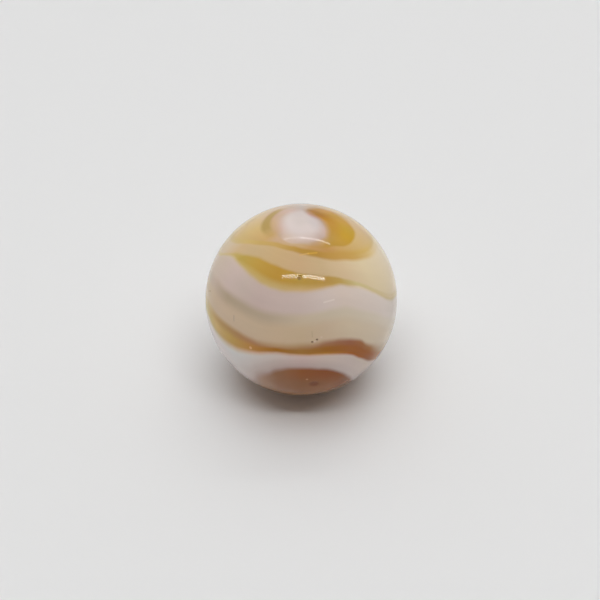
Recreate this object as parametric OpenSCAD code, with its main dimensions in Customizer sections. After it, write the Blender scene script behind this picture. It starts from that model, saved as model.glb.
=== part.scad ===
// Opaque swirled glass marble: one solid ball of mixed glass, with no core and no joint.
// The coloured glass runs in streams round one pole and folds into an eye near the other,
// and all of it is melted into one ball. Origin at the centre of the ball, +Z up, and the
// eye and the broad white band face -Y.
// Places on the ball are angles [round, up], measured about the poles of the swirl:
// "round" is 0 at the front and grows towards +X, "up" is 0 midway between the poles.

/* [Ball] */
// Diameter of the ball
ball_d = 16; // [12:0.5:25]
// Lean of the swirl's poles, away from the front, in degrees
swirl_lean = 40; // [0:5:60]

/* [Surface marks] */
// Mouth of each small pit above the brown ribbon
pit_w = 0.22; // [0.2:0.01:0.4]
// Depth of each small pit
pit_depth = 0.06; // [0.04:0.01:0.1]
// Mouth of the larger pit in the amber lens
lens_pit_w = 0.34; // [0.2:0.01:0.6]
// Depth of the larger pit
lens_pit_depth = 0.09; // [0.04:0.01:0.12]
// Mouth of the shallow dimple in the brown glass
dimple_w = 0.9; // [0.6:0.1:1.4]
// Depth of the dimple
dimple_depth = 0.04; // [0.02:0.01:0.08]

/* [Hidden] */
$fn = 160;
mark_steps = 48;             // steps round a pit or the dimple
edge_steps = 4;              // straight steps between two points of a smooth edge
seam = 0.02;                 // width in which two glasses melt into each other
ball_r = ball_d / 2;
outside = ball_d;            // well past the skin of the ball

white_glass = [0.85, 0.80, 0.78];
cream_glass = [0.83, 0.75, 0.62];
khaki_glass = [0.74, 0.69, 0.59];
amber_glass = [0.76, 0.60, 0.24];
ochre_glass = [0.79, 0.64, 0.40];
brown_glass = [0.49, 0.29, 0.13];
shade_glass = [0.36, 0.22, 0.12];

// Edges of the streams, each from the left limb of the front to the right one.
lens_top = [[-84, 29], [-64, 27], [-34, 26], [-12, 19], [15, 13], [39, 10], [63, 4], [84, 6]];
lens_foot = [[-84, 28], [-64, 26], [-50, 24], [-30, 12], [-12, 5], [16, 6], [39, 6], [63, 1], [84, 5]];
white_foot = [[-84, 6], [-50, 0], [-33, -7], [-1, -13], [26, -9], [60, -10], [84, -10]];
ribbon_top = [[-84, 3], [-57, -11], [-28, -25], [0, -28], [25, -23], [48, -25], [64, -29], [84, -32]];
ribbon_foot = [[-84, -5], [-70, -19], [-51, -30], [-23, -32], [13, -34], [36, -33], [67, -39], [84, -41]];
spot_top = [[-84, -60], [-44, -51], [-20, -45], [15, -44], [42, -50], [84, -60]];

// Closed outlines in the crown, counter-clockwise.
eye = [[-15, 70], [-24, 57], [-18, 42], [0, 35], [19, 39], [22, 50], [2, 69]];
crescent = [[2, 69], [14, 60], [14, 45], [-18, 38], [0, 32], [25, 32], [42, 36], [60, 52], [60, 67], [35, 71]];
thread = [
    [-60, 36], [-32, 34], [-16, 30], [10, 25], [35, 23], [62, 30],
    [60, 33], [35, 28], [10, 29], [-13, 32], [-30, 37], [-60, 38]
];
fleck = [[-42, 58], [-40, 48], [-28, 41], [-30, 50], [-36, 60]];

// Small marks: two pits above the brown ribbon, a larger one in the amber lens, and a dimple.
pits = [[7, -25.5], [10, -24]];
lens_pit = [-1, 13];
dimple = [15, -60];

// A place on the ball as a point of the front view.
function seen(place) = ball_r * [cos(place[1]) * sin(place[0]), sin(place[1])];

// One point of a smooth curve through b and c, a share t of the way between them.
function smooth(a, b, c, d, t) =
    b + t / 2 * (c - a + t * (2 * a - 5 * b + 4 * c - d + t * (3 * b - a - 3 * c + d)));

// A smooth open edge in the front view, carried straight on past both limbs.
function edge(places) =
    let (n = len(places), p = [for (place = places) seen(place)])
    concat(
        [[-outside, p[0][1]]],
        [for (i = [0 : n - 2], s = [0 : edge_steps - 1])
            smooth(p[max(i - 1, 0)], p[i], p[i + 1], p[min(i + 2, n - 1)], s / edge_steps)],
        [p[n - 1], [outside, p[n - 1][1]]]
    );

// A smooth closed outline in the front view.
function loop(places) =
    let (n = len(places), p = [for (place = places) seen(place)])
    [for (i = [0 : n - 1], s = [0 : edge_steps - 1])
        smooth(p[(i + n - 1) % n], p[i], p[(i + 1) % n], p[(i + 2) % n], s / edge_steps)];

module ball() {
    sphere(d = ball_d);
}

// The outline pushed outwards by a given width; it runs counter-clockwise.
function spread_out(outline, by) =
    let (n = len(outline))
    [for (i = [0 : n - 1])
        let (along = outline[(i + 1) % n] - outline[(i + n - 1) % n])
        outline[i] + by * [along[1], -along[0]] / norm(along)];

// All that lies under an edge, right through the ball.
module under(places, melt = 0) {
    rotate([90, 0, 0])
        translate([0, melt, -outside])
            linear_extrude(height = 2 * outside)
                polygon(concat(edge(places), [[outside, -outside], [-outside, -outside]]));
}

// All that lies inside a closed outline, from the middle of the ball to past its front.
module island(places, melt = 0) {
    rotate([90, 0, 0])
        translate([0, 0, -melt])
            linear_extrude(height = outside)
                polygon(spread_out(loop(places), melt));
}

// Glass of the ball between two edges.
module stream(upper, lower) {
    difference() {
        intersection() {
            ball();
            under(upper, seam);
        }
        under(lower);
    }
}

// Glass of the ball inside a closed outline.
module patch(places) {
    intersection() {
        ball();
        island(places, seam);
    }
}

module crown() {
    color(cream_glass)
        difference() {
            ball();
            under(lens_top);
            for (places = [eye, crescent, thread, fleck]) island(places);
        }
    color(ochre_glass) patch(fleck);
    color(amber_glass)
        difference() {
            union() {
                patch(crescent);
                patch(thread);
            }
            island(eye);
        }
    color(white_glass) patch(eye);
}

module bands() {
    color(amber_glass) stream(lens_top, lens_foot);
    color(white_glass) stream(lens_foot, white_foot);
    color(khaki_glass) stream(white_foot, ribbon_top);
    color(brown_glass) stream(ribbon_top, ribbon_foot);
    color(white_glass) stream(ribbon_foot, spot_top);
    color(brown_glass)
        intersection() {
            ball();
            under(spot_top, seam);
        }
}

// A round hollow with a given mouth and depth, at a place on the ball.
module hollow(place, mouth, depth) {
    cutter_r = (pow(mouth / 2, 2) + pow(depth, 2)) / (2 * depth);
    color(shade_glass)
        rotate([0, 0, place[0]])
            rotate([-place[1], 0, 0])
                translate([0, depth - ball_r - cutter_r, 0])
                    sphere(r = cutter_r, $fn = mark_steps);
}

module marble() {
    rotate([-swirl_lean, 0, 0])
        difference() {
            union() {
                crown();
                bands();
            }
            for (place = pits) hollow(place, pit_w, pit_depth);
            hollow(lens_pit, lens_pit_w, lens_pit_depth);
            hollow(dimple, dimple_w, dimple_depth);
        }
}

marble();
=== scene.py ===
"""The looks of a 16 mm opaque swirled glass marble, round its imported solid.

Streams of coloured glass run round the ball from an eye near its top to a brown pool under
it. A place on the ball is given by two angles about the eye: "round" is 0 at the front and
grows towards +X, and "down" is 0 at the middle of the eye and 180 at the far pole.
"""

from math import atan, cos, pi, radians, sin, sqrt

import bpy
from mathutils import Matrix, Vector


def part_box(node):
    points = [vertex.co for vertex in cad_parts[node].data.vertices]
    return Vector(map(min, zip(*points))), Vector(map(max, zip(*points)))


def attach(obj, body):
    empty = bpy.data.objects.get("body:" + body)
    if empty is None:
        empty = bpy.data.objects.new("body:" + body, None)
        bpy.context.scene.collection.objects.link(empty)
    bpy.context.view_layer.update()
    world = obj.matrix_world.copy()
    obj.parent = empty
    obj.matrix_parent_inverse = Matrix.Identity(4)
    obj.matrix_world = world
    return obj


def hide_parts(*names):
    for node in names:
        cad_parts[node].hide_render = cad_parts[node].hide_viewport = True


MM = 0.001

# The ball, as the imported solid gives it
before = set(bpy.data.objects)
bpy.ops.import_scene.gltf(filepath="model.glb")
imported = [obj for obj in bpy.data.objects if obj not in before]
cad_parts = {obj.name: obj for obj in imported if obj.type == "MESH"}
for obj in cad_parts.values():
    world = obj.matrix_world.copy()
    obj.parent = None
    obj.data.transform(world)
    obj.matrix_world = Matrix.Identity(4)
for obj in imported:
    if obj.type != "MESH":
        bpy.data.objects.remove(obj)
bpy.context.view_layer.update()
ball_low, ball_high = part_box("marble")
ball_r = (ball_high.z - ball_low.z) / 2

# Marks in the skin, at [round, up] about the poles of the swirl, which lean away from the front:
# two pits over the brown ribbon, a larger pit in the amber lens, and a dimple
swirl_lean = 40
pit_places = [(7, -25.5), (10, -24)]
pit_w = 0.22 * MM
pit_depth = 0.06 * MM
lens_pit_place = (-1, 13)
lens_pit_w = 0.34 * MM
lens_pit_depth = 0.09 * MM
# a dark spot painted at the lower side of the lens pit, as [round, down] about the eye
lens_dark_place = (-1.6, 41.6)
lens_dark_w = 0.36 * MM
dimple_place = (15, -60)
dimple_w = 0.9 * MM
dimple_depth = 0.04 * MM
press_steps = 6

# Mesh of the ball
side_cuts = 63
pit_cuts = 9
dimple_cuts = 3

# The surface of the glass: the strength of its gloss, its refractive index, how rough it is, and how
# much rougher at the dark spot painted below the lens pit
gloss = 0.25
glass_index = 1.5
glass_rough = 0.05
lens_dark_rough = 0.4

# How the glass was stirred: the scale of its slow bends and fine ripples, and how far each moves it
bend_scale = 2.6
bend_reach = 0.030
ripple_scale = 9.0
ripple_reach = 0.010

# Where bands and marks start and end to fade, as shares of half a band's width and of a mark's width
band_fade = (0.35, 1.35)
mark_fade = (0.25, 0.6)

# Fine streaks: how close they lie round the ball and across a stream, how strong they are, and the
# level that they change about
streak_round = 1.3
streak_across = 5.0
streak_strength = 0.10
streak_level = 1.015

# The middle of the eye, the fleck beside it, and the pool towards the far pole and at it
eye_middle = (214, 201, 195)
fleck_khaki = (182, 152, 84)
pool_middle = (162, 114, 75)
pool_pole = (192, 148, 110)

# Dark spots painted in the marks: the pits, the lens pit and the dimple
pit_dark = (120, 92, 70)
lens_pit_dark = (140, 110, 50)
dimple_dark = (132, 72, 36)

# The floor, a disc of paper
floor_sides = 96
floor_r = 0.3
floor_grey = 0.80
floor_rough = 0.9

# The room: its light grows from none in front of the ball to twice this behind it, and it shows and
# reflects as an even tone
room_light = 0.385
room_tone = 0.72

# The camera: how high it looks down from in degrees, its lens and film in mm, the nearest it sees, how
# far its frame is shifted, and the ball's radius as a share of the view
view_up = 40
lens_length = 150
film_width = 36
nearest = 0.01
frame_shift = (-0.0022, -0.001)
ball_share = 0.16

# The front strip lamp: dots in each of its two rows, and how strong they are at its left and at its right
strip_dots = 13
left_gain = 3.0
right_gain = 3.6
# where along the lamp its strength starts and ends to change, and how softly each dot ends
gain_change = (0.35, 0.6)
dot_ends = (-0.1, 0.6)
# The back strip lamp: how bright it is along its length, as (share from its left end, level)
fade_levels = [
    (0, 0.6), (0.14, 0.6), (0.2, 0.25), (0.29, 0.25), (0.36, 0.6), (0.6, 0.6), (0.7, 0.8), (0.85, 0.8),
    (1, 0.6),
]

# The eye: its axis leans a little away from the front
eye_lean = 4

# Light specks on the skin and a painted glint, as [round, down] about the eye, width and colour
light_specks_and_glint = [
    ((8, 79.5), 0.16 * MM, (226, 200, 182)),
    ((12, 77.2), 0.22 * MM, (226, 202, 180)),
    ((3.5, 108.8), 0.24 * MM, (196, 140, 90)),
    # a painted glint
    ((-31, 89.1), 0.30 * MM, (236, 186, 130)),
]
# Fine scratches and painted highlights, from and to [round, down], with width, strength and colour
scratches_and_highlights = [
    ((-45.5, 73.5), (-44.7, 76.5), 0.13 * MM, 0.4, (170, 150, 136)),
    ((6.4, 73), (6.6, 76.5), 0.10 * MM, 0.25, (176, 150, 124)),
    ((-90, 84), (-76, 74), 0.16 * MM, 0.4, (170, 130, 96)),
    # painted highlights: one faint lamp's, then another's in two pieces, pinkish then yellow
    ((15.8, 56.8), (23.2, 56.4), 0.16 * MM, 0.5, (240, 226, 216)),
    ((-1.6, 27.6), (9, 26.6), 0.16 * MM, 0.45, (228, 186, 110)),
    ((9, 26.7), (20, 27), 0.18 * MM, 0.5, (226, 180, 70)),
]

# Edges of the streams, [round, down], all the way round from the back to the back
eye_edge = [
    (-180, 15), (-150, 15), (-120, 14.7), (-90, 14), (-60, 14.5), (-45, 16.2), (-30, 18), (-15, 18.7),
    (0, 18.4), (15, 19), (30, 19.8), (45, 20.4), (60, 18.4), (75, 16), (90, 14), (105, 11.6),
    (120, 10), (135, 9.6), (150, 10.2), (165, 12), (180, 15),
]
crescent_edge = [
    (-180, 15), (0, 20), (15, 22.5), (30, 25.5), (45, 26.7), (60, 31), (75, 33), (90, 33.2),
    (105, 31), (120, 28.5), (135, 25), (150, 21.5), (165, 17), (180, 15),
]
ring_line = [
    (-180, 58), (-150, 56), (-120, 51), (-105, 48), (-90, 42), (-75, 34), (-60, 28.5), (-45, 24.7),
    (-30, 23.5), (-15, 23.3), (0, 24.6), (15, 26.7), (30, 30.3), (45, 33.7), (60, 38.8), (75, 43.8),
    (90, 47), (120, 51), (150, 55), (180, 58),
]
lens_top = [
    (-180, 61), (-150, 61), (-120, 61), (-105, 59), (-92, 55.5), (-85, 50.5), (-78, 46), (-72, 42.6),
    (-65, 40.3), (-60, 38.4), (-52, 36.6), (-45, 35.7), (-30, 35.7), (-15, 36.6), (0, 38.8), (15, 41),
    (30, 44.5), (37, 47.7), (45, 51.3), (52, 56.2), (60, 63.4), (67, 69.6), (75, 74.8), (85, 79),
    (105, 82), (130, 76), (150, 66), (165, 62), (180, 61),
]
lens_foot = [
    (-180, 62), (-150, 62), (-120, 62), (-105, 60.5), (-92, 57), (-85, 51.8), (-78, 48.2), (-70, 46.2),
    (-60, 46.1), (-45, 47.1), (-30, 49.2), (-15, 50.1), (0, 49.6), (15, 49), (22, 48.8), (30, 49),
    (37, 51.8), (45, 55), (52, 60), (60, 67.8), (67, 74.3), (75, 79), (85, 82), (105, 84),
    (130, 78), (150, 67.5), (165, 63), (180, 62),
]
ribbon_top = [
    (-180, 84), (-150, 83), (-120, 82), (-90, 82), (-68, 81.6), (-55, 81.2), (-43, 81.7), (-35, 82.2),
    (-25, 83), (-11, 82.5), (0, 81.9), (9, 81.2), (15, 80.2), (23, 80.5), (34, 84), (42, 91),
    (52, 98.9), (64, 106), (80, 113.5), (100, 112), (130, 98), (160, 87), (180, 84),
]
ribbon_foot = [
    (-180, 87), (-150, 87), (-120, 88), (-90, 90.3), (-75, 91.5), (-63, 94.2), (-52, 95.5), (-42, 95.3),
    (-34, 93.3), (-26, 91.5), (-19, 89.4), (-11, 88.3), (0, 88.4), (11, 88.8), (20, 90), (29, 93.3),
    (38, 100.5), (49, 109.5), (60, 115.5), (80, 119), (100, 115), (130, 101), (160, 90), (180, 87),
]
pool_edge = [
    (-180, 136), (-120, 138), (-70, 136), (-40, 128), (-27, 111), (-20, 106), (-14, 101), (-1, 98.2),
    (10, 99.2), (18, 101.9), (26, 107.9), (34, 117), (43, 128), (70, 137), (120, 138), (180, 136),
]


def rotated(lean):
    """Turns a ball whose poles stand upright so that they lean away from the front."""
    return Matrix.Rotation(-radians(lean), 3, "X")


def on_ball(place, lean):
    """The point of the ball's skin at [round, up] about poles with that lean."""
    turn, up = radians(place[0]), radians(place[1])
    upright = Vector((cos(up) * sin(turn), -cos(up) * cos(turn), sin(up)))
    return ball_r * (rotated(lean) @ upright)


def by_eye(place):
    """The point of the ball's skin at [round, down] about the eye."""
    return on_ball((place[0], 90 - place[1]), eye_lean)


def srgb(red, green, blue):
    """A colour given as 0 to 255 on a screen, as the shader wants it."""
    def linear(value):
        share = value / 255
        return share / 12.92 if share <= 0.04045 else ((share + 0.055) / 1.055) ** 2.4
    return (linear(red), linear(green), linear(blue), 1.0)


# Mesh of the ball


def select_near(ball, places, reach):
    """Selects the faces of the ball, in edit mode, whose middle is near one of the places."""
    bpy.ops.mesh.select_all(action="DESELECT")
    bpy.ops.object.mode_set(mode="OBJECT")
    for face in ball.data.polygons:
        face.select = any((face.center - place).length < reach for place in places)
    bpy.ops.object.mode_set(mode="EDIT")


def make_round(ball):
    """Casts every point of the mesh onto the ball."""
    bpy.ops.object.mode_set(mode="OBJECT")
    cast = ball.modifiers.new("cast", "CAST")
    cast.cast_type = "SPHERE"
    cast.factor = 1
    cast.use_radius_as_size = False
    cast.size = ball_r
    bpy.ops.object.modifier_apply(modifier=cast.name)


def press(ball, place, mouth, depth):
    """Presses a round hollow into the skin, ring by ring from its mouth to its middle."""
    inward = -place.normalized() * depth / press_steps
    for step in range(press_steps):
        ring = mouth / 2 * sqrt(1 - step / press_steps)
        bpy.ops.mesh.select_all(action="DESELECT")
        bpy.ops.object.mode_set(mode="OBJECT")
        for point in ball.data.vertices:
            point.select = (point.co - place).length < ring + step * depth / press_steps
        bpy.ops.object.mode_set(mode="EDIT")
        bpy.ops.transform.translate(value=inward)


def model_marble():
    """One ball of even quads, finer at its marks, with the pits and the dimple pressed in."""
    bpy.ops.object.select_all(action="DESELECT")
    bpy.ops.mesh.primitive_cube_add(size=2 * ball_r / sqrt(3))
    ball = bpy.context.object
    ball.name = "swirled_marble"
    bpy.ops.object.mode_set(mode="EDIT")
    bpy.ops.mesh.select_all(action="SELECT")
    bpy.ops.mesh.subdivide(number_cuts=side_cuts)
    make_round(ball)
    pits = [on_ball(place, swirl_lean) for place in pit_places]
    lens_pit = on_ball(lens_pit_place, swirl_lean)
    dimple = on_ball(dimple_place, swirl_lean)
    bpy.ops.object.mode_set(mode="EDIT")
    bpy.ops.mesh.select_mode(type="FACE")
    select_near(ball, [*pits, lens_pit], lens_pit_w)
    bpy.ops.mesh.subdivide(number_cuts=pit_cuts)
    select_near(ball, [dimple], dimple_w)
    bpy.ops.mesh.subdivide(number_cuts=dimple_cuts)
    make_round(ball)
    bpy.ops.object.mode_set(mode="EDIT")
    bpy.ops.mesh.select_mode(type="VERT")
    for pit in pits:
        press(ball, pit, pit_w, pit_depth)
    press(ball, lens_pit, lens_pit_w, lens_pit_depth)
    press(ball, dimple, dimple_w, dimple_depth)
    bpy.ops.mesh.select_all(action="SELECT")
    bpy.ops.mesh.normals_make_consistent(inside=False)
    bpy.ops.object.mode_set(mode="OBJECT")
    bpy.ops.object.shade_smooth()
    return ball


# Shader nodes


class Bench:
    """Lays nodes into one shader. A value is a plain number, colour or vector, or another node's output."""

    def __init__(self, tree):
        self.tree = tree

    def feed(self, socket, value):
        if isinstance(value, bpy.types.NodeSocket):
            self.tree.links.new(value, socket)
        else:
            socket.default_value = value

    def node(self, kind, inputs=None, **settings):
        made = self.tree.nodes.new("ShaderNode" + kind)
        for name, setting in settings.items():
            setattr(made, name, setting)
        for name, value in (inputs or {}).items():
            self.feed(made.inputs[name], value)
        return made

    def maths(self, operation, *values):
        made = self.node("Math", operation=operation)
        for socket, value in zip(made.inputs, values):
            self.feed(socket, value)
        return made.outputs[0]

    def vector(self, operation, *values, output="Vector"):
        made = self.node("VectorMath", operation=operation)
        for socket, value in zip(made.inputs, values):
            self.feed(socket, value)
        return made.outputs[output]

    def scaled(self, vector, scale):
        return self.node("VectorMath", {"Vector": vector, "Scale": scale}, operation="SCALE").outputs[0]

    def ease(self, value, low, high):
        """0 below low, 1 above high, and a smooth change between them."""
        inputs = {"Value": value, "From Min": low, "From Max": high}
        return self.node("MapRange", inputs, interpolation_type="SMOOTHSTEP").outputs[0]

    def share(self, value, low, high):
        """How far value has gone from low to high, kept between 0 and 1."""
        return self.node("MapRange", {"Value": value, "From Min": low, "From Max": high}).outputs[0]

    def mix(self, share, first, second, blend="MIX"):
        made = self.node("Mix", data_type="RGBA", blend_type=blend)
        for socket, value in zip((made.inputs[0], made.inputs[6], made.inputs[7]), (share, first, second)):
            self.feed(socket, value)
        return made.outputs[2]

    def blend(self, value, stops):
        """A colour that changes with a value from 0 to 1, through (place, colour) stops."""
        made = self.node("ValToRGB", {"Fac": value})
        ramp = made.color_ramp
        while len(ramp.elements) < len(stops):
            ramp.elements.new(0.5)
        for element, (place, colour) in zip(ramp.elements, stops):
            element.position = place
            element.color = colour
        return made.outputs[0]

    def noise(self, vector, scale, detail=2.0, output="Fac"):
        return self.node("TexNoise", {"Vector": vector, "Scale": scale, "Detail": detail}).outputs[output]


class Swirl(Bench):
    """The marble's own bench: it knows where a place is on the swirl."""

    def __init__(self, tree):
        super().__init__(tree)
        self.skin = self.node("TexCoord").outputs["Object"]
        upright = self.node("Mapping", {"Vector": self.skin}, vector_type="POINT")
        upright.inputs["Rotation"].default_value = (radians(eye_lean), 0, 0)
        upright.inputs["Scale"].default_value = (1 / ball_r,) * 3
        ball = upright.outputs[0]
        middle = (0.5, 0.5, 0.5)
        bend = self.vector("SUBTRACT", self.noise(ball, bend_scale, output="Color"), middle)
        ripple = self.vector("SUBTRACT", self.noise(ball, ripple_scale, output="Color"), middle)
        stirred = self.vector("ADD", self.scaled(bend, bend_reach), self.scaled(ripple, ripple_reach))
        stirred = self.vector("NORMALIZE", self.vector("ADD", ball, stirred))
        across, back, up = self.node("SeparateXYZ", {"Vector": stirred}).outputs
        self.across, self.front = across, self.maths("MULTIPLY", back, -1.0)
        self.turn = self.share(self.maths("ARCTAN2", self.across, self.front), -pi, pi)
        self.down = self.maths("MULTIPLY", self.maths("ARCCOSINE", up), 180 / pi)

    def line(self, places, full=180):
        """A smooth line round the ball, through [round, value] points."""
        made = self.node("FloatCurve", {"Value": self.turn})
        curve = made.mapping.curves[0]
        while len(curve.points) < len(places):
            curve.points.new(0, 0)
        for point, (where, value) in zip(curve.points, places):
            point.location = ((where + 180) / 360, value / full)
            point.handle_type = "AUTO_CLAMPED"
        made.mapping.update()
        return self.maths("MULTIPLY", made.outputs[0], full)

    def width(self, places):
        """A width in degrees that changes round the ball."""
        return self.line(places, full=10)

    def strength(self, places):
        """A share from 0 to 1 that changes round the ball."""
        return self.line(places, full=1)

    def tones(self, stops):
        """Colours that change round the ball, from [round, colour] stops."""
        return self.blend(self.turn, [((where + 180) / 360, srgb(*colour)) for where, colour in stops])

    def past(self, edge, softness):
        """0 before an edge, 1 past it, over a soft width in degrees."""
        offset = self.maths("SUBTRACT", self.down, edge)
        return self.ease(offset, self.maths("MULTIPLY", softness, -1.0), softness)

    def band(self, line, half):
        """1 on a line, 0 about half a width from it."""
        away = self.maths("ABSOLUTE", self.maths("SUBTRACT", self.down, line))
        start, end = (self.maths("MULTIPLY", half, share) for share in band_fade)
        inside = self.ease(away, start, end)
        return self.maths("SUBTRACT", 1.0, inside)

    def spot(self, place, width):
        """1 in the middle of a round mark on the skin, 0 outside it."""
        away = self.vector("DISTANCE", self.skin, tuple(place), output="Value")
        return self.maths("SUBTRACT", 1.0, self.ease(away, width * mark_fade[0], width * mark_fade[1]))

    def scratch(self, start, end, width):
        """1 on a short straight line between two places on the skin, 0 off it, for scratches and painted
        highlights.
        """
        along = end - start
        from_start = self.vector("SUBTRACT", self.skin, tuple(start))
        reach = self.vector("DOT_PRODUCT", from_start, tuple(along / along.length_squared), output="Value")
        reach = self.share(reach, 0.0, 1.0)
        foot = self.scaled(tuple(along), reach)
        away = self.vector("DISTANCE", from_start, foot, output="Value")
        return self.maths("SUBTRACT", 1.0, self.ease(away, width * mark_fade[0], width * mark_fade[1]))


# The swirled glass: each stream is poured over the glass above it


def pour_eye(swirl):
    """The milky white eye, with a pink and tan rim on its right."""
    edge = swirl.line(eye_edge)
    rim = swirl.tones([
        (-180, (188, 170, 160)), (-150, (206, 175, 162)), (-120, (202, 175, 154)), (-90, (208, 181, 168)),
        (-60, (212, 185, 174)), (-30, (214, 190, 172)), (0, (216, 194, 184)), (20, (209, 185, 174)),
        (40, (194, 166, 151)), (60, (207, 174, 158)), (90, (184, 160, 146)), (120, (187, 149, 140)),
        (150, (194, 147, 128)), (165, (178, 146, 126)), (180, (188, 170, 160))])
    body = swirl.tones([
        (-180, (208, 194, 189)), (-150, (211, 197, 192)), (-110, (219, 206, 200)), (-60, (221, 207, 202)),
        (35, (221, 207, 202)), (65, (211, 199, 196)), (100, (209, 195, 193)), (150, (208, 194, 189)),
        (180, (208, 194, 189))])
    body = swirl.mix(swirl.ease(swirl.down, 1.0, 8.0), srgb(*eye_middle), body)
    near_rim = swirl.ease(swirl.maths("DIVIDE", swirl.down, edge), 0.5, 1.0)
    return swirl.mix(near_rim, body, rim)


def pour_crown(swirl, colour):
    """The cream and tan glass between the eye and the lens."""
    edge, ring, top = swirl.line(eye_edge), swirl.line(ring_line), swirl.line(lens_top)
    halo = swirl.tones([
        (-180, (192, 177, 166)), (-150, (204, 177, 158)), (-120, (204, 168, 140)), (-90, (206, 171, 128)),
        (-60, (204, 169, 136)), (-45, (199, 170, 141)), (-30, (218, 191, 170)), (0, (200, 172, 144)),
        (20, (199, 173, 144)), (40, (200, 165, 126)), (60, (202, 166, 128)), (90, (198, 162, 122)),
        (130, (194, 160, 128)),
        (165, (194, 168, 142)), (180, (192, 177, 166))])
    inner = swirl.tones([
        (-180, (208, 184, 163)), (-150, (205, 177, 138)), (-120, (216, 190, 144)), (-90, (214, 183, 120)),
        (-60, (208, 169, 110)), (-45, (207, 172, 138)), (-15, (206, 174, 134)), (0, (204, 168, 122)),
        (15, (200, 155, 96)), (35, (198, 148, 84)), (50, (207, 165, 98)), (75, (215, 181, 118)),
        (110, (212, 180, 134)), (145, (204, 176, 130)), (180, (208, 184, 163))])
    outer = swirl.tones([
        (-180, (208, 192, 168)), (-120, (212, 194, 150)), (-90, (219, 196, 162)), (-75, (214, 183, 138)),
        (-60, (209, 181, 136)), (-30, (210, 178, 130)), (0, (209, 175, 132)), (20, (209, 181, 138)),
        (40, (220, 193, 154)), (60, (230, 210, 172)), (90, (232, 213, 182)), (120, (218, 202, 172)),
        (180, (208, 192, 168))])
    near = swirl.share(swirl.down, edge, ring)
    crown = swirl.mix(swirl.ease(near, 0.1, 0.45), halo, inner)
    crown = swirl.mix(swirl.past(ring, 1.5), crown, outer)
    rim = swirl.width([
        (-180, 5), (-120, 4), (-60, 3), (-30, 2.5), (0, 2), (30, 2), (60, 3), (90, 3.5), (120, 2.5),
        (150, 3), (180, 5)])
    return swirl.mix(swirl.past(edge, rim), colour, crown)


def pour_fleck(swirl, colour):
    """A khaki fleck beside the eye."""
    middle = swirl.line([(-180, 21), (-120, 21.2), (-90, 21.4), (-60, 20.5), (-40, 20), (0, 22), (180, 21)])
    half = swirl.width([(-180, 3), (-120, 3), (-90, 3.5), (-60, 3), (-30, 1.5), (180, 3)])
    strength = swirl.strength([
        (-180, 0), (-150, 0.3), (-120, 1), (-90, 1), (-75, 0.7), (-60, 0.25), (-40, 0), (0, 0), (180, 0)])
    fleck = swirl.maths("MULTIPLY", swirl.band(middle, half), strength)
    return swirl.mix(fleck, colour, srgb(*fleck_khaki))


def pour_ring(swirl, colour):
    """The amber thread that runs round the eye."""
    tone = swirl.tones([
        (-180, (200, 184, 140)), (-100, (212, 186, 124)), (-75, (212, 182, 106)), (-60, (207, 172, 96)),
        (-30, (202, 163, 90)), (0, (191, 147, 64)), (20, (189, 143, 64)), (45, (203, 158, 80)),
        (60, (207, 165, 84)), (80, (218, 183, 100)), (110, (206, 186, 130)), (180, (200, 184, 140))])
    half = swirl.width([
        (-180, 1.5), (-90, 2.4), (-60, 2), (-30, 2), (0, 2.35), (15, 2.9), (30, 3.3), (45, 3.9), (60, 4.3),
        (90, 4.4), (180, 1.5)])
    strength = swirl.strength([
        (-180, 0.2), (-105, 0.6), (-75, 0.8), (-45, 0.9), (0, 1), (45, 1), (70, 0.8), (95, 0.4), (180, 0.2)])
    ring = swirl.band(swirl.line(ring_line), half)
    return swirl.mix(swirl.maths("MULTIPLY", ring, strength), colour, tone)


def pour_crescent(swirl, colour):
    """The thick amber glass on the right of the eye, with a brown tip."""
    inner = swirl.tones([
        (-180, (184, 148, 110)), (20, (192, 146, 96)), (35, (200, 161, 108)), (50, (192, 152, 74)),
        (75, (194, 146, 48)), (90, (193, 141, 44)), (105, (184, 128, 0)), (120, (173, 113, 2)),
        (135, (162, 112, 6)), (150, (169, 110, 16)), (165, (150, 106, 44)), (180, (184, 148, 110))])
    outer = swirl.tones([
        (-180, (184, 148, 110)), (20, (194, 150, 90)), (45, (188, 146, 60)), (60, (199, 154, 58)),
        (75, (201, 156, 34)), (90, (196, 155, 32)), (105, (199, 150, 42)), (120, (191, 146, 24)),
        (135, (199, 144, 50)), (150, (178, 132, 54)), (165, (178, 140, 90)), (180, (184, 148, 110))])
    edge, far = swirl.line(eye_edge), swirl.line(crescent_edge)
    tone = swirl.mix(swirl.ease(swirl.share(swirl.down, edge, far), 0.2, 0.7), inner, outer)
    lip = swirl.width([(-180, 2), (30, 1.6), (45, 2), (60, 3), (90, 3.5), (120, 2.5), (150, 3), (180, 2)])
    fade = swirl.width([
        (-180, 1), (0, 2), (40, 1.4), (60, 1), (90, 1.5), (105, 2.5), (120, 4), (150, 3.5), (180, 2)])
    inside = swirl.maths("SUBTRACT", swirl.past(edge, lip), swirl.past(far, fade))
    strength = swirl.strength([
        (-180, 0), (0, 0), (18, 0.5), (35, 0.8), (50, 1), (150, 1), (165, 0.7), (176, 0), (180, 0)])
    share = swirl.maths("MULTIPLY", swirl.maths("MAXIMUM", inside, 0.0), strength)
    return swirl.mix(share, colour, tone)


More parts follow.
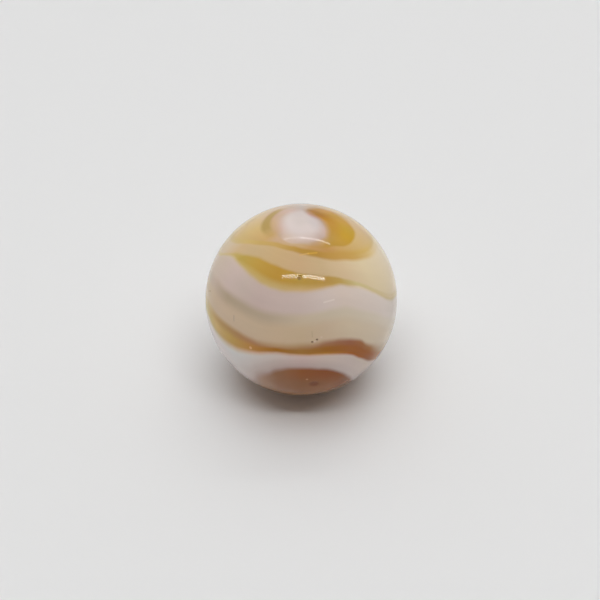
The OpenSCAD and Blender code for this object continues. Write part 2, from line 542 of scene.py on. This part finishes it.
def pour_lens(swirl, colour):
    """The amber band that swells into a lens at the front."""
    top, foot = swirl.line(lens_top), swirl.line(lens_foot)
    high = swirl.tones([
        (-180, (208, 192, 156)), (-92, (214, 192, 126)), (-78, (212, 185, 118)), (-65, (197, 167, 80)),
        (-45, (201, 161, 70)), (-20, (197, 151, 58)), (0, (194, 156, 70)), (20, (192, 151, 74)),
        (32, (197, 162, 88)), (45, (214, 196, 140)), (70, (225, 202, 162)), (100, (208, 190, 142)),
        (180, (208, 192, 156))])
    low = swirl.tones([
        (-180, (208, 192, 156)), (-92, (214, 192, 118)), (-65, (209, 184, 108)), (-45, (209, 180, 112)),
        (-20, (209, 182, 124)), (0, (215, 180, 124)), (20, (206, 168, 98)), (32, (195, 158, 46)),
        (45, (229, 207, 168)), (70, (212, 190, 132)), (100, (208, 190, 142)), (180, (208, 192, 156))])
    tone = swirl.mix(swirl.ease(swirl.share(swirl.down, top, foot), 0.5, 1.0), high, low)
    rim = swirl.width([(-180, 1), (-70, 1.5), (-30, 1.4), (0, 1), (30, 1), (60, 1.5), (180, 1)])
    return swirl.mix(swirl.past(top, rim), colour, tone)


def pour_shoulder(swirl, colour):
    """White glass that turns to khaki cream, with a duller streak where they meet."""
    foot, under = swirl.line(lens_foot), swirl.line(ribbon_top)
    high = swirl.tones([
        (-180, (212, 198, 182)), (-90, (217, 196, 172)), (-75, (217, 196, 180)), (-60, (217, 195, 185)),
        (-45, (211, 191, 179)), (-30, (210, 187, 178)), (0, (214, 193, 184)), (15, (220, 202, 193)),
        (30, (225, 206, 193)), (60, (231, 216, 206)), (90, (220, 208, 194)), (180, (212, 198, 182))])
    streak = swirl.tones([
        (-180, (212, 196, 176)), (-90, (209, 192, 168)), (-75, (211, 187, 168)), (-55, (192, 170, 143)),
        (-20, (198, 177, 152)), (0, (214, 194, 168)), (20, (215, 199, 175)), (40, (223, 208, 186)),
        (60, (230, 216, 198)), (90, (222, 208, 192)), (180, (212, 196, 176))])
    low = swirl.tones([
        (-180, (212, 194, 168)), (-90, (220, 196, 158)), (-60, (221, 195, 167)), (-30, (218, 193, 163)),
        (-15, (219, 192, 160)), (0, (217, 191, 157)), (15, (218, 193, 164)), (30, (223, 203, 175)),
        (60, (229, 211, 188)), (90, (218, 204, 182)), (180, (212, 194, 168))])
    across = swirl.share(swirl.down, foot, under)
    meet = swirl.strength([
        (-180, 0.45), (-60, 0.5), (-30, 0.45), (0, 0.43), (30, 0.43), (60, 0.42), (180, 0.45)])
    past_meet = swirl.maths("SUBTRACT", across, meet)
    shoulder = swirl.mix(swirl.ease(past_meet, -0.1, 0.05), high, streak)
    shoulder = swirl.mix(swirl.ease(past_meet, 0.05, 0.28), shoulder, low)
    return swirl.mix(swirl.past(foot, 1.8), colour, shoulder)


def pour_ribbon(swirl, colour):
    """The narrow dark ribbon: ochre on the left, red brown on the right."""
    top, foot = swirl.line(ribbon_top), swirl.line(ribbon_foot)
    high = swirl.tones([
        (-180, (200, 170, 120)), (-100, (208, 180, 118)), (-75, (211, 182, 106)), (-60, (205, 164, 96)),
        (-45, (191, 148, 92)), (-30, (190, 136, 93)), (-15, (194, 150, 102)), (0, (177, 124, 62)),
        (15, (176, 124, 90)), (30, (166, 104, 74)), (45, (177, 118, 58)), (60, (186, 158, 120)),
        (90, (196, 160, 122)), (180, (200, 170, 120))])
    core = swirl.tones([
        (-180, (200, 170, 115)), (-100, (206, 180, 106)), (-75, (203, 178, 92)), (-60, (223, 186, 112)),
        (-45, (209, 168, 88)), (-30, (203, 143, 70)), (-15, (178, 114, 28)), (0, (176, 124, 56)),
        (15, (171, 109, 31)), (30, (172, 103, 42)), (45, (165, 88, 2)), (60, (176, 110, 46)),
        (90, (190, 144, 92)), (180, (200, 170, 115))])
    fringe = swirl.tones([
        (-180, (204, 176, 124)), (-100, (206, 182, 116)), (-75, (204, 184, 118)), (-60, (208, 187, 124)),
        (-45, (216, 174, 108)), (-30, (221, 158, 84)), (-15, (208, 151, 86)), (0, (206, 148, 64)),
        (15, (205, 143, 54)), (30, (182, 100, 18)), (45, (158, 86, 12)), (60, (182, 124, 68)),
        (90, (192, 152, 106)), (180, (204, 176, 124))])
    across = swirl.share(swirl.down, top, foot)
    ribbon = swirl.mix(swirl.ease(across, 0.15, 0.55), high, core)
    ribbon = swirl.mix(swirl.ease(across, 0.7, 1.0), ribbon, fringe)
    rim = swirl.width([
        (-180, 2), (-75, 3), (-45, 2.2), (-20, 3), (0, 3.5), (12, 2.5), (20, 2), (34, 2), (45, 3), (64, 5.5),
        (180, 2)])
    return swirl.mix(swirl.past(top, rim), colour, ribbon)


def pour_lower(swirl, colour):
    """The lower white glass."""
    foot, pool = swirl.line(ribbon_foot), swirl.line(pool_edge)
    high = swirl.tones([
        (-180, (218, 204, 194)), (-90, (232, 220, 214)), (-60, (238, 226, 224)), (-45, (234, 232, 229)),
        (-30, (237, 229, 223)), (-15, (232, 217, 208)), (0, (233, 206, 198)), (15, (231, 210, 198)),
        (30, (225, 206, 196)), (45, (216, 198, 184)), (60, (222, 204, 192)),
        (180, (218, 204, 194))])
    low = swirl.tones([
        (-180, (212, 196, 186)), (-60, (212, 196, 186)), (-30, (200, 176, 168)), (0, (198, 173, 167)),
        (15, (201, 183, 176)), (30, (212, 195, 189)), (60, (212, 194, 184)), (180, (212, 196, 186))])
    lower = swirl.mix(swirl.share(swirl.down, foot, pool), high, low)
    rim = swirl.width([
        (-180, 2), (-70, 3.6), (-50, 3.8), (-30, 2.9), (-12, 2), (0, 1.6), (30, 1.4), (60, 2), (180, 2)])
    return swirl.mix(swirl.past(foot, rim), colour, lower)


def pour_pool(swirl, colour):
    """The brown pool round the far pole, darkest near its right edge."""
    edge = swirl.line(pool_edge)
    shallow = swirl.tones([
        (-180, (150, 104, 66)), (-60, (174, 142, 118)), (-35, (184, 156, 136)), (-27, (180, 145, 122)),
        (-15, (161, 112, 76)), (0, (158, 92, 42)), (15, (152, 82, 33)), (30, (142, 80, 22)),
        (60, (150, 92, 46)), (180, (150, 104, 66))])
    deep = swirl.tones([
        (-180, (148, 100, 62)), (-60, (166, 128, 98)), (-30, (180, 144, 115)), (-15, (161, 112, 79)),
        (0, (150, 97, 54)), (20, (154, 94, 44)), (32, (143, 71, 2)), (60, (142, 84, 38)),
        (180, (148, 100, 62))])
    depth = swirl.maths("SUBTRACT", swirl.down, edge)
    pool = swirl.mix(swirl.ease(depth, 4.0, 16.0), shallow, deep)
    pool = swirl.mix(swirl.ease(swirl.down, 124.0, 134.0), pool, srgb(*pool_middle))
    pool = swirl.mix(swirl.ease(swirl.down, 129.0, 146.0), pool, srgb(*pool_pole))
    rim = swirl.width([
        (-180, 4), (-60, 6), (-35, 7), (-25, 5), (-15, 3), (0, 2.2), (20, 2.2), (30, 3), (40, 4), (180, 4)])
    return swirl.mix(swirl.past(edge, rim), colour, pool)


def add_streaks(swirl, colour):
    """Faint light and dark streaks that run with the streams."""
    crown = swirl.share(swirl.down, swirl.line(eye_edge), swirl.line(lens_top))
    shoulder = swirl.share(swirl.down, swirl.line(lens_foot), swirl.line(ribbon_top))
    lower = swirl.share(swirl.down, swirl.line(ribbon_foot), swirl.line(pool_edge))
    flow = swirl.maths("ADD", crown, swirl.maths("ADD", shoulder, lower))
    along = swirl.node("CombineXYZ", {
        "X": swirl.maths("MULTIPLY", swirl.across, streak_round),
        "Y": swirl.maths("MULTIPLY", swirl.front, streak_round),
        "Z": swirl.maths("MULTIPLY", flow, streak_across)})
    streak = swirl.noise(along.outputs[0], 1.0, 3.0)
    change = swirl.maths("SUBTRACT", streak, 0.5)
    lift = swirl.maths("MULTIPLY_ADD", change, streak_strength, streak_level)
    value = swirl.node("CombineXYZ", {"X": lift, "Y": lift, "Z": lift}).outputs[0]
    return swirl.mix(1.0, colour, value, "MULTIPLY")


def add_marks(swirl, colour):
    """Dark spots painted in the pits and the dimple, light specks beside them, a painted glint, fine
    scratches and painted highlights.
    """
    # dark spots painted in the pits, below the lens pit and in the dimple
    for place in pit_places:
        colour = swirl.mix(swirl.spot(on_ball(place, swirl_lean), pit_w), colour, srgb(*pit_dark))
    colour = swirl.mix(swirl.spot(by_eye(lens_dark_place), lens_dark_w), colour, srgb(*lens_pit_dark))
    colour = swirl.mix(swirl.spot(on_ball(dimple_place, swirl_lean), dimple_w), colour, srgb(*dimple_dark))
    # light specks, the last of them a painted glint
    for place, width, tone in light_specks_and_glint:
        colour = swirl.mix(swirl.spot(by_eye(place), width), colour, srgb(*tone))
    # scratches, the last three of them painted highlights
    for start, end, width, strength, tone in scratches_and_highlights:
        line = swirl.scratch(by_eye(start), by_eye(end), width)
        colour = swirl.mix(swirl.maths("MULTIPLY", line, strength), colour, srgb(*tone))
    return colour


def mix_glass():
    """The marble's glass: coloured streams under a smooth hard gloss."""
    glass = bpy.data.materials.new("swirled_glass")
    glass.use_nodes = True
    shader = glass.node_tree.nodes["Principled BSDF"]
    swirl = Swirl(glass.node_tree)
    colour = pour_eye(swirl)
    for pour in (pour_crown, pour_fleck, pour_ring, pour_crescent, pour_lens, pour_shoulder,
                 pour_ribbon, pour_lower, pour_pool, add_streaks, add_marks):
        colour = pour(swirl, colour)
    swirl.feed(shader.inputs["Base Color"], colour)
    # the dark spot painted below the lens pit is rougher too
    lens_dark = swirl.spot(by_eye(lens_dark_place), lens_dark_w)
    swirl.feed(shader.inputs["Roughness"], swirl.maths("MULTIPLY_ADD", lens_dark, lens_dark_rough, glass_rough))
    shader.inputs["IOR"].default_value = glass_index
    shader.inputs["Specular IOR Level"].default_value = gloss
    return glass


# Studio


def lay_floor():
    """A plain pale round floor under the ball."""
    bpy.ops.object.select_all(action="DESELECT")
    under = (0, 0, ball_low.z)
    bpy.ops.mesh.primitive_circle_add(vertices=floor_sides, radius=floor_r, fill_type="NGON", location=under)
    floor = bpy.context.object
    floor.name = "floor"
    paper = bpy.data.materials.new("pale_paper")
    paper.use_nodes = True
    shader = paper.node_tree.nodes["Principled BSDF"]
    shader.inputs["Base Color"].default_value = (floor_grey, floor_grey, floor_grey, 1)
    shader.inputs["Roughness"].default_value = floor_rough
    shader.inputs["Specular IOR Level"].default_value = 0.0
    floor.data.materials.append(paper)


def hang_strip(name, height, left, right, back, width, power, turn=0, seen=True):
    """A strip lamp that faces down. Its ends, place and width are shares of its height."""
    lamp = bpy.data.lights.new(name, "AREA")
    lamp.shape = "RECTANGLE"
    lamp.size = (right - left) * height
    lamp.size_y = width * height
    lamp.energy = power * height * height
    strip = bpy.data.objects.new(name, lamp)
    bpy.context.collection.objects.link(strip)
    strip.location = ((left + right) / 2 * height, back * height, height)
    strip.rotation_euler = (0, 0, radians(turn))
    strip.visible_glossy = seen
    return lamp


def light_studio():
    """Two patterned strip lamps, a fill that reflections miss, and a pale room that lights from behind."""
    dot_strip(hang_strip(
        "front_strip", height=2.0, left=-0.43, right=0.55, back=-0.42, width=0.08, power=3.7, turn=-2.5))
    fade_strip(hang_strip(
        "back_strip", height=0.5, left=-0.344, right=0.574, back=0.535, width=0.055, power=2.2, turn=-1.5))
    hang_strip("fill", height=0.5, left=-0.55, right=0.55, back=-0.04, width=0.5, power=2.95, seen=False)
    room = bpy.data.worlds.new("room")
    bpy.context.scene.world = room
    room.use_nodes = True
    bench = Bench(room.node_tree)
    direction = bench.node("TexCoord").outputs["Generated"]
    slope = bench.vector("DOT_PRODUCT", direction, (0, room_light, 0), output="Value")
    light = bench.maths("ADD", slope, room_light)
    rays = bench.node("LightPath").outputs
    in_view = bench.maths("MAXIMUM", rays["Is Camera Ray"], rays["Is Glossy Ray"])
    background = room.node_tree.nodes["Background"]
    background.inputs["Color"].default_value = (1, 1, 1, 1)
    strength = bench.node("Mix", {"Factor": in_view, "A": light, "B": room_tone}, data_type="FLOAT")
    bench.feed(background.inputs["Strength"], strength.outputs[0])


def dot_strip(lamp):
    """Turns a strip lamp into two staggered rows of small bright dots."""
    lamp.use_nodes = True
    bench = Bench(lamp.node_tree)
    place = bench.node("NewGeometry").outputs["Parametric"]
    across, along, _ = bench.node("SeparateXYZ", {"Vector": place}).outputs
    wave = bench.maths("COSINE", bench.maths("MULTIPLY", across, 2 * pi * strip_dots))
    rows = bench.maths("COSINE", bench.maths("MULTIPLY", along, pi))
    dots = bench.ease(bench.maths("MULTIPLY", wave, rows), *dot_ends)
    emission = lamp.node_tree.nodes["Emission"]
    gain = bench.share(across, *gain_change)
    gain = bench.maths("MULTIPLY_ADD", gain, right_gain - left_gain, left_gain)
    bench.feed(emission.inputs["Strength"], bench.maths("MULTIPLY", dots, gain))


def fade_strip(lamp):
    """Makes a strip lamp darkest beside its left end and brightest near its right end."""
    lamp.use_nodes = True
    bench = Bench(lamp.node_tree)
    place = bench.node("NewGeometry").outputs["Parametric"]
    across, _, _ = bench.node("SeparateXYZ", {"Vector": place}).outputs
    levels = [(at, (level, level, level, 1)) for at, level in fade_levels]
    bench.feed(lamp.node_tree.nodes["Emission"].inputs["Strength"], bench.blend(across, levels))


def place_camera():
    """A long lens that looks down at 40 degrees, with the ball across a third of the view."""
    elevation = radians(view_up)
    camera = bpy.data.cameras.new("camera")
    camera.lens = lens_length
    camera.sensor_width = film_width
    camera.clip_start = nearest
    camera.shift_x, camera.shift_y = frame_shift
    half_angle = atan(ball_share * camera.sensor_width / camera.lens)
    away = ball_r / sin(half_angle)
    stand = bpy.data.objects.new("camera", camera)
    bpy.context.collection.objects.link(stand)
    stand.location = (0, -away * cos(elevation), away * sin(elevation))
    stand.rotation_euler = (pi / 2 - elevation, 0, 0)
    bpy.context.scene.camera = stand


marble = model_marble()
marble.data.materials.append(mix_glass())
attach(marble, "root")
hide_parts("marble")
lay_floor()
light_studio()
place_camera()
bpy.context.scene.view_settings.view_transform = "Standard"
